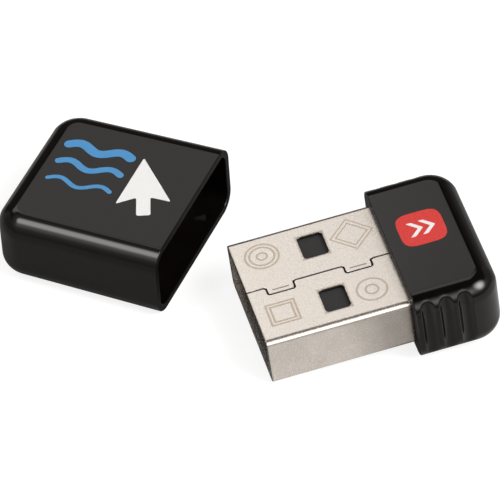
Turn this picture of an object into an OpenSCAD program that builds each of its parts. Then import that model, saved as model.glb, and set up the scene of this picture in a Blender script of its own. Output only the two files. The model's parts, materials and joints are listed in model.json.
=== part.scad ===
// USB dongle with a push-on cap, lying on a table with the cap pulled off and turned aside.
// The dongle rests on the lower edge of its plug and on the front edge of its head.
// Millimetres, +Z up, table at z = 0, origin in the middle of the two pieces' footprint.
// +X runs along the plug from its tip to the head, +Y to the side on which the cap lies.

/* [Head and cap] */
// Width that head and cap share
body_w = 14.7; // [14.2:0.1:17]
// Height that head and cap share
body_h = 6.4; // [6.1:0.1:8]
// Radius of the long edges and of the closed ends' edges
edge_r = 1.6; // [1.2:0.1:2]
// Radius of the closed ends' corners, seen from above
corner_r = 2.4; // [2.1:0.1:3.5]
// Length of the head
head_len = 7.1; // [6.8:0.1:10]
// Thickness of the head's end wall
head_end = 0.9; // [0.6:0.1:1.2]
// Length of the cap
cap_len = 14.5; // [13.8:0.1:18]
// Thickness of the cap's side walls
cap_wall = 0.6; // [0.4:0.05:0.8]
// Thickness of the cap's end wall
cap_end = 1; // [0.8:0.1:1.2]
// How much lower each side of the cap lies at its closed end
cap_draft = 0.12; // [0:0.02:0.2]

/* [Grip flutes] */
// Flutes on each side of the head
flute_n = 3; // [1:1:3]
// Distance from one flute to the next
flute_pitch = 1.5; // [1.3:0.1:1.7]
// Distance from the head's front face to the first flute
flute_first = 1; // [0.8:0.1:1.4]
// Radius of a flute
flute_r = 0.65; // [0.45:0.05:0.8]
// Depth of a flute
flute_depth = 0.28; // [0.1:0.02:0.4]

/* [Guide ribs in the cap] */
// Width of a rib
rib_w = 0.8; // [0.5:0.1:1.2]
// Distance of the upper and lower ribs from the cap's middle
rib_out = 3.5; // [2:0.1:4.5]
// Depth at which the ribs begin behind the mouth
rib_start = 2; // [1:0.1:4]
// Length of a rib's sloping lead-in
rib_lead = 0.8; // [0.3:0.1:1.5]
// Gap between a rib and the plug that is pushed in
rib_clear = 0.05; // [0.02:0.01:0.1]

/* [Plug shell] */
// Width of the plug
shell_w = 12; // [11.8:0.1:12.4]
// Height of the plug
shell_h = 4.5; // [4.3:0.1:4.8]
// Length of the plug that stands out of the head
shell_len = 11.75; // [11:0.05:12.5]
// Length of the shell that sits in the head
shell_seat = 2.4; // [2:0.1:2.6]
// Thickness of the sheet
sheet_t = 0.3; // [0.25:0.01:0.35]
// Outer radius of the shell's long edges
shell_r = 0.55; // [0.45:0.05:0.7]
// Gap round the shell in the head's pocket
pocket_clear = 0.05; // [0.02:0.01:0.08]

/* [Seam and windows] */
// Open width of the seam along the middle of the top
seam_gap = 0.05; // [0.03:0.01:0.08]
// How far a locking tab reaches across the seam
tab_reach = 0.8; // [0.5:0.05:1.2]
// Length of a locking tab
tab_len = 2.15; // [1.6:0.05:2.6]
// Distance from the tip to the middle of the first tab
tab_first = 2.7; // [2.2:0.1:3.4]
// Distance from the first tab to the second
tab_pitch = 6.35; // [5.5:0.05:7]
// Length of the staking mark on a tab
stake_len = 1.35; // [0.8:0.05:1.5]
// Width of the staking mark
stake_w = 0.1; // [0.06:0.01:0.15]
// Depth of the staking mark
stake_depth = 0.1; // [0.05:0.01:0.15]
// Width of a latch window across the plug
window_w = 2.5; // [2:0.1:2.8]
// Length of a latch window along the plug
window_len = 2; // [1.6:0.1:2.4]
// Corner radius of a latch window
window_r = 0.3; // [0.1:0.05:0.5]
// Distance from the tip to the middle of the windows
window_from_tip = 6.35; // [5.5:0.05:7]
// Distance of each window's middle from the plug's middle
window_out = 3.15; // [2.9:0.05:3.6]

/* [Insulator and contacts] */
// Thickness of the insulator
insulator_t = 1.9; // [1.6:0.05:2]
// How far the insulator stands back from the tip
insulator_recess = 0.3; // [0.1:0.05:0.6]
// How far the insulator reaches behind the head's front face
insulator_tail = 0.4; // [0.2:0.1:0.8]
// Gap between the insulator and the shell's sides
insulator_clear = 0.05; // [0.02:0.01:0.08]
// Chamfer of the insulator's front lower edge
insulator_lead = 0.4; // [0.2:0.05:0.6]
// Width of a contact strip
contact_w = 1; // [0.8:0.05:1.2]
// Thickness of a contact strip
contact_t = 0.25; // [0.2:0.01:0.3]
// How far the contacts stand proud of the insulator
contact_proud = 0.05; // [0.03:0.01:0.08]
// Gap between a contact and the sides of its groove
contact_clear = 0.03; // [0.02:0.01:0.05]
// Height of the hook at a contact's front end
contact_hook = 0.5; // [0.3:0.05:0.7]
// Distance between the two data contacts
data_pitch = 2; // [1.8:0.05:2.2]
// Distance between a data contact and the supply contact beside it
supply_pitch = 2.5; // [2.3:0.05:2.7]
// Distance from the tip to the front of the supply contacts
supply_from_tip = 1.5; // [1.1:0.1:1.8]
// Distance from the tip to the front of the data contacts
data_from_tip = 2.5; // [2:0.1:3]
// How far the contact tails reach behind the head's front face
contact_tail = 1.9; // [1.5:0.05:2]

/* [Circuit board] */
// Thickness of the board
board_t = 0.8; // [0.6:0.05:0.9]
// How far the board reaches into the plug
board_nose = 0.5; // [0.2:0.1:1]
// Gap between the board's edges and what holds them
board_clear = 0.05; // [0.02:0.01:0.08]
// Gap between the board and the head's end wall
board_end_gap = 0.15; // [0.05:0.05:0.3]
// Depth of the head's grooves over the board's edges
groove_bite = 0.4; // [0.25:0.05:0.5]
// Thickness of the solder under a contact's tail
solder_t = 0.05; // [0.03:0.01:0.08]
// Length of a tail's solder joint under it
solder_len = 0.9; // [0.5:0.1:1.1]
// Reach of a solder fillet
solder_fillet = 0.35; // [0.2:0.05:0.4]
// Length of a shell solder seam
seam_solder_len = 1.2; // [0.8:0.1:1.3]
// Distance from the head's front face to a shell solder seam
seam_solder_from = 0.9; // [0.6:0.1:1]

/* [Electronic parts] */
// Side of the controller's square package
controller_side = 3; // [2.5:0.1:3]
// Height of the controller
controller_h = 0.85; // [0.7:0.05:1]
// Length of the crystal
crystal_len = 2; // [1.6:0.1:2.2]
// Width of the crystal
crystal_w = 1.6; // [1.2:0.1:1.8]
// Height of the crystal
crystal_h = 0.5; // [0.4:0.05:0.8]
// Distance from the board's middle to the crystal
crystal_out = 2.8; // [2.6:0.1:3]
// Distance from the board's middle to the load capacitors
load_cap_out = 4.4; // [4.2:0.1:4.6]
// Body length of the small-outline packages
package_len = 2.9; // [2.6:0.1:3]
// Body width of the small-outline packages
package_w = 1.3; // [1.1:0.1:1.4]
// Height of the small-outline packages
package_h = 1; // [0.8:0.05:1.1]
// Distance across the leads of the small-outline packages
package_span = 2.4; // [2.2:0.1:2.6]
// Distance from the board's middle to the regulator
regulator_out = 3.4; // [3.2:0.1:3.6]
// Length of the bulk capacitor
bulk_len = 2; // [1.6:0.1:2.2]
// Width of the bulk capacitor
bulk_w = 1.25; // [1:0.05:1.4]
// Height of the bulk capacitor
bulk_h = 1.1; // [0.8:0.05:1.2]
// Length of the ferrite bead
bead_len = 1.6; // [1.2:0.1:1.8]
// Width and height of the ferrite bead
bead_w = 0.8; // [0.6:0.05:0.9]
// Length of the small resistors and capacitors
chip_len = 1; // [0.8:0.05:1.1]
// Width of the small resistors and capacitors
chip_w = 0.5; // [0.4:0.05:0.6]
// Height of the small resistors
resistor_h = 0.35; // [0.3:0.05:0.45]
// Distance from the board's middle to the parts at its lower face's sides
side_part_out = 3.6; // [3.4:0.1:3.8]

/* [How the two pieces lie] */
// Turn of the cap away from the plug's direction
cap_turn = 38.2; // [20:0.2:60]
// Distance from the plug's corner to the plane of the cap's mouth
cap_gap = 3.75; // [3.2:0.05:6]
// Distance of that corner from the cap's middle line, towards the near side
cap_shift = 1.6; // [0:0.1:4]

/* [Hidden] */
$fn = 48;
hull_fn = 32;
// Overshoot of a cut past the face that it opens
past = 1;

// The dongle's own frame: x = 0 at the head's front face, y = z = 0 on the plug's axis
pocket_w = shell_w + 2 * pocket_clear;
pocket_h = shell_h + 2 * pocket_clear;
inner_w = shell_w - 2 * sheet_t;
inner_h = shell_h - 2 * sheet_t;
inner_r = shell_r - sheet_t;
bay_end = head_len - head_end;
insulator_w = inner_w - 2 * insulator_clear;
insulator_low = inner_h / 2 - insulator_t;
contact_low = insulator_low - contact_proud;
data_y = data_pitch / 2;
supply_y = data_y + supply_pitch;
board_top = contact_low - solder_t;
board_low = board_top - board_t;
board_w = inner_w - 2 * board_clear;
board_end = bay_end - board_end_gap;
bay_w = board_w - 2 * groove_bite;

// Columns of parts on the board, counted forward from its end
part_gap = 0.25;
controller_x = board_end - part_gap - controller_side / 2;
package_x = board_end - part_gap - package_len / 2;
crystal_x = controller_x;
// Rows of small parts, counted from the middle of the column
row_step = 0.8;
// Share of a small part's length that each end cap takes
end_cap = 0.25;
// How far an end cap stands out of its part's sides
end_proud = 0.02;

// How the dongle and the cap lie on the table
dongle_tilt = atan((body_h - shell_h) / 2 / shell_len);
dongle_lift = body_h / 2 * cos(dongle_tilt);
cap_lean = atan(cap_draft / (cap_len - edge_r));
cap_lift = body_h / 2 * cos(cap_lean);
// The plug's corner on the cap's side, and the middle of the cap's mouth, before centring
corner_x = -shell_len * cos(dongle_tilt);
corner_y = shell_w / 2;
mouth_x = corner_x - cap_gap * cos(cap_turn) + cap_shift * sin(cap_turn);
mouth_y = corner_y + cap_gap * sin(cap_turn) + cap_shift * cos(cap_turn);
// Reach of the cap's outline from the middle of its mouth, in the table's direction a
function cap_reach(a) =
    let (b = a + cap_turn)
    let (round_x = -(cap_len - corner_r), round_y = body_w / 2 - cap_draft - corner_r)
    max(body_w / 2 * abs(sin(b)), round_x * cos(b) + round_y * abs(sin(b)) + corner_r);
head_reach = (head_len - edge_r) * cos(dongle_tilt) + (body_h / 2 - edge_r) * sin(dongle_tilt) + edge_r;
low_x = mouth_x - cap_reach(180);
high_x = max(head_reach, mouth_x + cap_reach(0));
low_y = min(-body_w / 2, mouth_y - cap_reach(270));
high_y = mouth_y + cap_reach(90);
centre = [(low_x + high_x) / 2, (low_y + high_y) / 2];

// Places a piece of the dongle on the table
module lay_dongle() {
    translate([-centre.x, -centre.y, dongle_lift])
        rotate([0, -dongle_tilt, 0])
            children();
}

// Places the cap on the table, mouth towards the plug, lying flat on its drafted underside
module lay_cap() {
    translate([mouth_x - centre.x, mouth_y - centre.y, cap_lift])
        rotate([0, 0, -cap_turn])
            rotate([0, -cap_lean, 0])
                children();
}

// Extrudes a flat shape along x, its own x across and its own y up
module along_x(from, to) {
    translate([from, 0, 0])
        rotate([90, 0, 90])
            linear_extrude(to - from)
                children();
}

// Extrudes a side view, drawn with x along and y up, across the plug around y = mid
module across(mid, width) {
    translate([0, mid + width / 2, 0])
        rotate([90, 0, 0])
            linear_extrude(width)
                children();
}

// Rectangle with round corners
module round_rect(w, h, r) {
    square([w - 2 * r, h], center = true);
    square([w, h - 2 * r], center = true);
    for (x = [-1, 1], y = [-1, 1])
        translate([x * (w / 2 - r), y * (h / 2 - r)])
            circle(r = r);
}

// Box from its middle in x and y and its lower face
module block(len, w, h) {
    translate([-len / 2, -w / 2, 0])
        cube([len, w, h]);
}

// Rounded body that is square cut at x = 0 (or at x = over) and closed with round corners at x = -len
module pod(len, w, h, edge, corner, draft, over) {
    sliver = 0.01;
    hull() {
        along_x(over - sliver, over)
            round_rect(w, h, edge, $fn = hull_fn);
        along_x(-sliver, 0)
            round_rect(w, h, edge, $fn = hull_fn);
        for (y = [-1, 1], z = [-1, 1])
            translate([corner - len, y * (w / 2 - draft - corner), z * (h / 2 - draft - edge)])
                rotate_extrude($fn = hull_fn)
                    intersection() {
                        translate([corner - edge, 0])
                            circle(r = edge, $fn = hull_fn);
                        translate([0, -edge])
                            square([corner, 2 * edge]);
                    }
    }
}

// One guide rib's side view: it slopes in from the wall and runs parallel to the plug
module rib_side(low, high) {
    polygon([[-rib_start, high], [-rib_start - rib_lead, low], [-cap_len, low], [-cap_len, high]]);
}

module guide_ribs() {
    for (side = [0, 180])
        rotate([side, 0, 0]) {
            for (y = [-rib_out, rib_out])
                across(y, rib_w)
                    rib_side(shell_h / 2 + rib_clear, body_h / 2);
            rotate([90, 0, 0])
                across(0, rib_w)
                    rib_side(shell_w / 2 + rib_clear, body_w / 2);
        }
}

// Push-on cap: one moulded cup with guide ribs left standing in its cavity
module cap_shell() {
    color("#2c2a29")
        lay_cap()
            difference() {
                pod(cap_len, body_w, body_h, edge_r, corner_r, cap_draft, 0);
                difference() {
                    pod(cap_len - cap_end, body_w - 2 * cap_wall, body_h - 2 * cap_wall,
                        edge_r - cap_wall, corner_r - cap_wall, cap_draft, past);
                    guide_ribs();
                }
            }
}

module grip_flutes() {
    for (y = [-1, 1], i = [0:flute_n - 1])
        translate([flute_first + i * flute_pitch, y * (body_w / 2 + flute_r - flute_depth), -body_h])
            cylinder(r = flute_r, h = 2 * body_h);
}

// Head: one moulded cup with a pocket for the plug's shell, a bay and two grooves for the board
module head_cover() {
    color("#2c2a29")
        lay_dongle()
            difference() {
                mirror([1, 0, 0])
                    pod(head_len, body_w, body_h, edge_r, corner_r, 0, 0);
                along_x(-past, shell_seat)
                    round_rect(pocket_w, pocket_h, shell_r + pocket_clear);
                translate([0, -bay_w / 2, -pocket_h / 2])
                    cube([bay_end, bay_w, pocket_h]);
                translate([0, -board_w / 2 - board_clear, board_low - board_clear])
                    cube([bay_end, board_w + 2 * board_clear, board_t + 2 * board_clear]);
                grip_flutes();
            }
}

// Outline of the open seam: a straight slot that steps round each locking tab
module seam() {
    translate([-shell_len - past, -seam_gap / 2])
        square([shell_len + shell_seat + 2 * past, seam_gap]);
    for (x = [tab_first, tab_first + tab_pitch])
        translate([x - shell_len, 0])
            difference() {
                translate([-tab_len / 2 - seam_gap, -tab_reach - seam_gap])
                    square([tab_len + 2 * seam_gap, tab_reach + 1.5 * seam_gap]);
                translate([-tab_len / 2, -tab_reach])
                    square([tab_len, tab_reach + 2 * seam_gap]);
            }
}

// Fills the straight slot again where a tab runs through it
module tab_roots() {
    for (x = [tab_first, tab_first + tab_pitch])
        translate([x - shell_len - tab_len / 2, -seam_gap])
            square([tab_len, 2 * seam_gap]);
}

module windows() {
    for (y = [-window_out, window_out])
        translate([window_from_tip - shell_len, y, -shell_h])
            linear_extrude(2 * shell_h)
                round_rect(window_len, window_w, window_r);
}

module stakes() {
    for (x = [tab_first, tab_first + tab_pitch])
        translate([x - shell_len, -tab_reach / 2, shell_h / 2 - stake_depth])
            block(stake_len, stake_w, past);
}

// Plug shell: one sheet rolled to a box, its edges meeting in a seam along the middle of the top
module plug_shell() {
    color("#d9d0c7")
        lay_dongle()
            difference() {
                along_x(-shell_len, shell_seat)
                    round_rect(shell_w, shell_h, shell_r);
                along_x(-shell_len - past, shell_seat + past)
                    round_rect(inner_w, inner_h, inner_r);
                linear_extrude(shell_h)
                    difference() {
                        seam();
                        tab_roots();
                    }
                windows();
                stakes();
            }
}

// Side view of a contact: a straight strip with its front end hooked up
module contact_side(from) {
    translate([from - shell_len, contact_low]) {
        translate([contact_t, 0])
            square([shell_len + contact_tail - from - contact_t, contact_t]);
        translate([0, contact_t])
            square([contact_t, contact_hook]);
        translate([contact_t, contact_t])
            intersection() {
                circle(r = contact_t);
                translate([-contact_t, -contact_t])
                    square(contact_t);
            }
    }
}

module contact(y, from) {
    color("#c9a24b")
        lay_dongle()
            across(y, contact_w)
                contact_side(from);
}

// Room for one contact in the insulator: an open groove and a slot for the hook
module contact_groove(y, from) {
    groove_w = contact_w + 2 * contact_clear;
    front = from - shell_len;
    translate([front - contact_clear, y - groove_w / 2, insulator_low - past])
        cube([shell_len + insulator_tail, groove_w, past + contact_t - contact_proud]);
    translate([front - contact_clear, y - groove_w / 2, insulator_low])
        cube([contact_t + 2 * contact_clear, groove_w, contact_t + contact_hook]);
}

// Insulator: fills the upper half of the plug, its contacts facing down
module plug_insulator() {
    front = insulator_recess - shell_len;
    color("#373636")
        lay_dongle()
            difference() {
                along_x(front, insulator_tail)
                    polygon([
                        [-insulator_w / 2, insulator_low],
                        [insulator_w / 2, insulator_low],
                        [insulator_w / 2, inner_h / 2 - inner_r],
                        [insulator_w / 2 - inner_r, inner_h / 2],
                        [inner_r - insulator_w / 2, inner_h / 2],
                        [-insulator_w / 2, inner_h / 2 - inner_r]
                    ]);
                across(0, shell_w)
                    polygon([
                        [front - past, insulator_low - past],
                        [front + insulator_lead + past, insulator_low - past],
                        [front + insulator_lead, insulator_low],
                        [front, insulator_low + insulator_lead],
                        [front - past, insulator_low + insulator_lead]
                    ]);
                for (y = [-supply_y, supply_y])
                    contact_groove(y, supply_from_tip);
                for (y = [-data_y, data_y])
                    contact_groove(y, data_from_tip);
            }
}

module contact_vbus() {
    contact(supply_y, supply_from_tip);
}

module contact_data_minus() {
    contact(data_y, data_from_tip);
}

module contact_data_plus() {
    contact(-data_y, data_from_tip);
}

module contact_ground() {
    contact(-supply_y, supply_from_tip);
}

module circuit_board() {
    color("#1d5b38")
        lay_dongle()
            translate([-board_nose, -board_w / 2, board_low])
                cube([board_nose + board_end, board_w, board_t]);
}

// Puts a part on the board's upper (side = 1) or lower (side = -1) face, at x and y
module on_board(x, y, side) {
    lay_dongle()
        translate([x, y, side > 0 ? board_top : board_low])
            rotate([side > 0 ? 0 : 180, 0, 0])
                children();
}

// Flat package with one corner cut to mark its first pin
module marked_package(side, h) {
    cut = side / 8;
    half = side / 2;
    linear_extrude(h)
        polygon([[-half, -half], [half, -half], [half, half], [cut - half, half], [-half, half - cut]]);
}

// Small part with a metal cap on each end
module end_capped(len, w, h) {
    cap = len * end_cap;
    block(len - cap, w - 2 * end_proud, h - end_proud);
    for (x = [-1, 1])
        translate([x * (len - cap) / 2, 0, 0])
            block(cap, w, h);
}

// Small-outline package: a body on bent leads, at the given places along its two long sides
module lead_package(near_leads, far_leads) {
    lead_w = 0.4;
    lead_t = 0.15;
    foot = 0.4;
    lead_h = package_h / 2;
    lift = 0.05;
    translate([0, 0, lift])
        block(package_len, package_w, package_h - lift);
    for (side = [-1, 1], x = side < 0 ? near_leads : far_leads)
        translate([x, side * package_span / 2, 0])
            rotate([0, 0, side < 0 ? 0 : 180]) {
                translate([-lead_w / 2, 0, 0])
                    cube([lead_w, foot, lead_t]);
                translate([-lead_w / 2, foot - lead_t, 0])
                    cube([lead_w, lead_t, lead_h]);
                translate([-lead_w / 2, foot - lead_t, lead_h - lead_t])
                    cube([lead_w, (package_span - package_w) / 2 - foot + 2 * lead_t, lead_t]);
            }
}

module controller_chip() {
    color("#222222")
        on_board(controller_x, 0, 1)
            marked_package(controller_side, controller_h);
}

// Crystal: a ceramic tray with a metal lid
module crystal() {
    rim = 0.15;
    color("#c8c8c8")
        on_board(crystal_x, crystal_out, 1) {
            block(crystal_len, crystal_w, crystal_h / 2);
            block(crystal_len - 2 * rim, crystal_w - 2 * rim, crystal_h);
        }
}

module crystal_load_capacitors() {
    color("#b48f6a")
        for (x = [-row_step, row_step])
            on_board(crystal_x + x, load_cap_out, 1)
                end_capped(chip_len, chip_w, chip_w);
}

module voltage_regulator() {
    lead_out = 0.95;
    color("#222222")
        on_board(package_x, -regulator_out, 1)
            lead_package([-lead_out, lead_out], [0]);
}

module esd_diode_array() {
    lead_out = 0.95;
    color("#222222")
        on_board(package_x, 0, -1)
            lead_package([-lead_out, 0, lead_out], [-lead_out, 0, lead_out]);
}

module bulk_capacitor() {
    color("#b48f6a")
        on_board(package_x, -side_part_out, -1)
            end_capped(bulk_len, bulk_w, bulk_h);
}

module ferrite_bead() {
    color("#4b4b4b")
        on_board(package_x, side_part_out, -1)
            end_capped(bead_len, bead_w, bead_w);
}

// Three in a row across the board, in front of the lower face's other parts
module decoupling_capacitors() {
    color("#b48f6a")
        for (y = [-1, 0, 1])
            on_board(contact_tail, y * (chip_len + part_gap), -1)
                end_capped(chip_len, chip_w, chip_w);
}

module series_resistors() {
    color("#1c1c1c")
        for (y = [-1, 1])
            on_board(contact_tail, y * side_part_out, -1)
                end_capped(chip_len, chip_w, resistor_h);
}

module pullup_resistor() {
    color("#1c1c1c")
        on_board(contact_tail, side_part_out + row_step, -1)
            end_capped(chip_len, chip_w, resistor_h);
}

// Solder under and behind each contact's tail
module contact_solder_joints() {
    color("#b8b8b4")
        lay_dongle()
            for (y = [-supply_y, -data_y, data_y, supply_y])
                across(y, contact_w)
                    polygon([
                        [contact_tail - solder_len, board_top],
                        [contact_tail + solder_fillet, board_top],
                        [contact_tail, contact_low + contact_t],
                        [contact_tail, contact_low],
                        [contact_tail - solder_len, contact_low]
                    ]);
}

// Solder seams between the board's upper edges and the shell's inner sides
module shell_solder_joints() {
    color("#b8b8b4")
        lay_dongle()
            for (side = [0, 1])
                mirror([0, side, 0])
                    along_x(seam_solder_from, seam_solder_from + seam_solder_len)
                        polygon([
                            [inner_w / 2, board_top],
                            [inner_w / 2, board_top + solder_fillet],
                            [inner_w / 2 - solder_fillet, board_top]
                        ]);
}

cap_shell();
head_cover();
plug_shell();
plug_insulator();
contact_vbus();
contact_data_minus();
contact_data_plus();
contact_ground();
circuit_board();
controller_chip();
crystal();
crystal_load_capacitors();
voltage_regulator();
esd_diode_array();
bulk_capacitor();
decoupling_capacitors();
series_resistors();
pullup_resistor();
ferrite_bead();
contact_solder_joints();
shell_solder_joints();
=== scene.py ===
"""Looks of a small USB dongle and its push-on cap, which lies pulled off beside it.

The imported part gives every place: the dongle's own frame comes from its plug mount, and the cap's from
its joint and its solid. Lengths are in millimetres until a mesh is made, where MM turns them into metres.
"""

import json
import math

import bmesh
import bpy
import numpy as np
from mathutils import Matrix, Vector
from mathutils.geometry import delaunay_2d_cdt


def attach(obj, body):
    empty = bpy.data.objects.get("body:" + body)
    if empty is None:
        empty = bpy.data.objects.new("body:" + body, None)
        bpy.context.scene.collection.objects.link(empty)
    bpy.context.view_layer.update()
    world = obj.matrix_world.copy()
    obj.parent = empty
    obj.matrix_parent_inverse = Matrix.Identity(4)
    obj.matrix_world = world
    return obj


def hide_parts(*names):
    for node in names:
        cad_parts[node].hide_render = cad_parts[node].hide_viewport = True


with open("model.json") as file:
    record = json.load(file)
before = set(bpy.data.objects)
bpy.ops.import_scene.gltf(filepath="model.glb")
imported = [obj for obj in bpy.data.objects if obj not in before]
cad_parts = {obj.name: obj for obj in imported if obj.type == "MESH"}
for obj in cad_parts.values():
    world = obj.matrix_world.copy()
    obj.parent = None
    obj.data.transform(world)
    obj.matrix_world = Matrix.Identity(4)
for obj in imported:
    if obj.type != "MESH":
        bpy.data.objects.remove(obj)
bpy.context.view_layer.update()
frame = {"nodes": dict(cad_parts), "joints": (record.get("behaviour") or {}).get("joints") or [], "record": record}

MM = 0.001

# Head and cap, as the part has them
BODY_W = 14.7
BODY_H = 6.4
EDGE_R = 1.6
CORNER_R = 2.4
HEAD_LEN = 7.1
HEAD_END = 0.9
CAP_LEN = 14.5
CAP_WALL = 0.6
CAP_END = 1.0
CAP_DRAFT = 0.12
RIM_R = 0.07

# Grip flutes
FLUTE_N = 3
FLUTE_PITCH = 1.5
FLUTE_FIRST = 1.0
FLUTE_R = 0.63
FLUTE_DEPTH = 0.31
FLUTE_LEAN = 0.3
FLUTE_SOFT = 0.18
FLUTE_STEP = 0.045

# Guide ribs inside the cap
RIB_W = 0.8
RIB_OUT = 3.5
RIB_START = 2.0
RIB_LEAD = 0.8
RIB_CLEAR = 0.05
RIB_SOFT = 0.06
RIB_SINK = 0.1
RIB_TOE_LEN = 1.1
RIB_TOE_T = 0.4

# Plug shell
SHELL_W = 12.0
SHELL_H = 4.5
SHELL_LEN = 11.75
SHELL_SEAT = 2.4
SHEET_T = 0.3
SHELL_R = 0.55
POCKET_CLEAR = 0.05
SEAM_GAP = 0.075
TAB_REACH = 0.8
TAB_LEN = 2.15
TAB_FIRST = 2.7
TAB_PITCH = 6.35
TAB_MIDDLES = (TAB_FIRST - SHELL_LEN, TAB_FIRST + TAB_PITCH - SHELL_LEN)
TAB_CORNER = 0.22
STAKE_LEN = 1.35
STAKE_W = 0.1
STAKE_Y = -0.4
WINDOW_W = 2.5
WINDOW_LEN = 2.0
WINDOW_R = 0.3
WINDOW_FROM_TIP = 6.35
WINDOW_X = WINDOW_FROM_TIP - SHELL_LEN
WINDOW_OUT = 3.15
ROLL_R = 0.06
BURR_R = 0.03

# Etched signs on the plug: kind, x, y and the radii of their outlines
ETCHED = (
    ("ring", -9.5, 3.5, (1.35, 1.0, 0.4)),
    ("diamond", -2.2, 3.2, (1.75, 1.3)),
    ("square", -9.6, -3.1, (1.15, 0.85)),
    ("ring", -2.4, -3.3, (1.2, 0.5)),
)

# Board bay in the head
BOARD_T = 0.8
BOARD_CLEAR = 0.05
BOARD_TOP = -0.05
BOARD_W = 11.3
GROOVE_BITE = 0.4

# Ink of the prints, which starts a little below the face that it lies on
INK_T = 0.012
INK_SINK = 0.002

# Wave lines and arrow pointer printed on the cap
WAVE_X = (-12.0, -6.6)
WAVE_Y = 3.0
WAVE_PITCH = 2.1
WAVE_SWING = 0.35
WAVE_COUNT = 1.5
WAVE_WIDTHS = (0.85, 0.6, 0.4)
POINTER_TIP = (-5.6, 3.4)
POINTER_SIZE = 6.0

# Badge with two chevrons printed on the head
BADGE_MIDDLE = (2.95, 0.8)
BADGE_HALF = 1.85
CHEVRON_X = (3.1, 4.1)
CHEVRON_REACH = 0.8
CHEVRON_WIDTH = 0.42

# Steps along each rounding
EDGE_STEPS = 28
CORNER_STEPS = 16
RIM_STEPS = 5
RIB_STEPS = 3
BEND_STEPS = 10
ROLL_STEPS = 5
BURR_STEPS = 3
TAB_STEPS = 5
WINDOW_STEPS = 6
STROKE_STEPS = 8


# ------------------------------------------------------------
# Frames of the two pieces
# ------------------------------------------------------------

def axes_matrix(x_axis, z_axis, origin):
    """Frame with the given x and z directions."""
    y_axis = z_axis.cross(x_axis)
    m = Matrix((x_axis, y_axis, z_axis)).transposed().to_4x4()
    m.translation = origin
    return m


def dongle_frame():
    """x = 0 at the head's front face, +x towards the head's end, y = z = 0 on the plug's axis."""
    mount = next(m for m in frame["record"]["mounts"] if m["name"] == "usb_plug")
    x_axis = -Vector(mount["axis"]).normalized()
    z_axis = x_axis.cross(Vector((0, 1, 0))).normalized()
    origin = Vector(mount["pos_m"]) + x_axis * SHELL_LEN * MM
    return axes_matrix(x_axis, z_axis, origin)


def cap_frame():
    """x = 0 in the middle of the mouth, +x out of it, the underside flat on the table."""
    joint = next(j for j in frame["joints"] if j["name"] == "cap_pull")
    out = -Vector(joint["axis"]).normalized()
    side = Vector((0, 0, 1)).cross(out)
    points = [v.co for v in frame["nodes"]["cap_shell"].data.vertices]
    along = [p.dot(out) for p in points]
    across = [p.dot(side) for p in points]
    lean = math.atan(CAP_DRAFT / (CAP_LEN - EDGE_R))
    up = Vector((0, 0, 1))
    x_axis = out * math.cos(lean) + up * math.sin(lean)
    z_axis = up * math.cos(lean) - out * math.sin(lean)
    half = BODY_H / 2 * MM
    origin = out * (max(along) - half * math.sin(lean)) + side * (max(across) + min(across)) / 2
    return axes_matrix(x_axis, z_axis, origin + up * half * math.cos(lean))


DONGLE = dongle_frame()
CAP = cap_frame()


# ------------------------------------------------------------
# Mesh tools
# ------------------------------------------------------------

class Shape:
    """Points and faces, gathered before they become one mesh."""

    def __init__(self):
        self.points = []
        self.faces = []

    def add(self, points):
        """Adds points and returns their numbers."""
        first = len(self.points)
        self.points.extend(tuple(p) for p in points)
        return list(range(first, len(self.points)))

    def quads(self, a, b, closed=False):
        """Faces between two rows of points."""
        n = len(a)
        for i in range(n if closed else n - 1):
            j = (i + 1) % n
            self.faces.append((a[i], a[j], b[j], b[i]))

    def face(self, loop):
        """One face over a loop of numbered points."""
        self.faces.append(tuple(loop))

    def block(self, outline, place, low, high, soft):
        """Prism over an outline of (u, v) points from w = low to high, its edges rounded by soft."""
        rows = [(soft * (1 - math.sin(a)), soft * (1 - math.cos(a))) for a in arc(RIB_STEPS)]
        ends = [(low + d, e) for e, d in rows] + [(high - d, e) for e, d in reversed(rows)]
        loops = [self.add(place(u, v, w) for u, v in inset_loop(outline, e)) for w, e in ends]
        for a, b in zip(loops, loops[1:]):
            self.quads(a, b, closed=True)
        self.face(loops[0])
        self.face(loops[-1])


# Keeps a sharp corner of an inset from running out further than the inset over this
LEAST_STRETCH = 0.3


def inset_loop(loop, distance):
    """Closed loop of (u, v) points, counter-clockwise, moved inwards."""
    if distance == 0:
        return list(loop)
    n = len(loop)
    out = []
    for i in range(n):
        p = Vector(loop[i])
        before = (p - Vector(loop[i - 1])).normalized()
        after = (Vector(loop[(i + 1) % n]) - p).normalized()
        normal = Vector((-before.y - after.y, before.x + after.x)).normalized()
        stretch = max(normal.dot(Vector((-before.y, before.x))), LEAST_STRETCH)
        out.append(tuple(p + normal * (distance / stretch)))
    return out


# Stands in for the area of a face that has none
LEAST_AREA = 1e-12


def corner_normals(points, faces, limit):
    """Normal of each face corner: the mean, by area, of the faces there that turn less than limit degrees."""
    normals = []
    for f in faces:
        p = points[list(f)]
        q = np.roll(p, -1, axis=0)
        normals.append(np.cross(p, q).sum(0) / 2)
    normals = np.array(normals)
    areas = np.linalg.norm(normals, axis=1)
    units = normals / np.maximum(areas, LEAST_AREA)[:, None]
    touching = [[] for _ in points]
    for i, f in enumerate(faces):
        for v in f:
            touching[v].append(i)
    threshold = math.cos(math.radians(limit))
    out = []
    for i, f in enumerate(faces):
        for v in f:
            close = [j for j in touching[v] if units[j] @ units[i] > threshold]
            total = (units[close] * areas[close][:, None]).sum(0)
            length = np.linalg.norm(total)
            out.append(tuple(total / length) if length > 0 else tuple(units[i]))
    return out


# Points nearer than WELD become one, and edges shorter than THIN go
WELD = 1e-5
THIN = 1e-6


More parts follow.
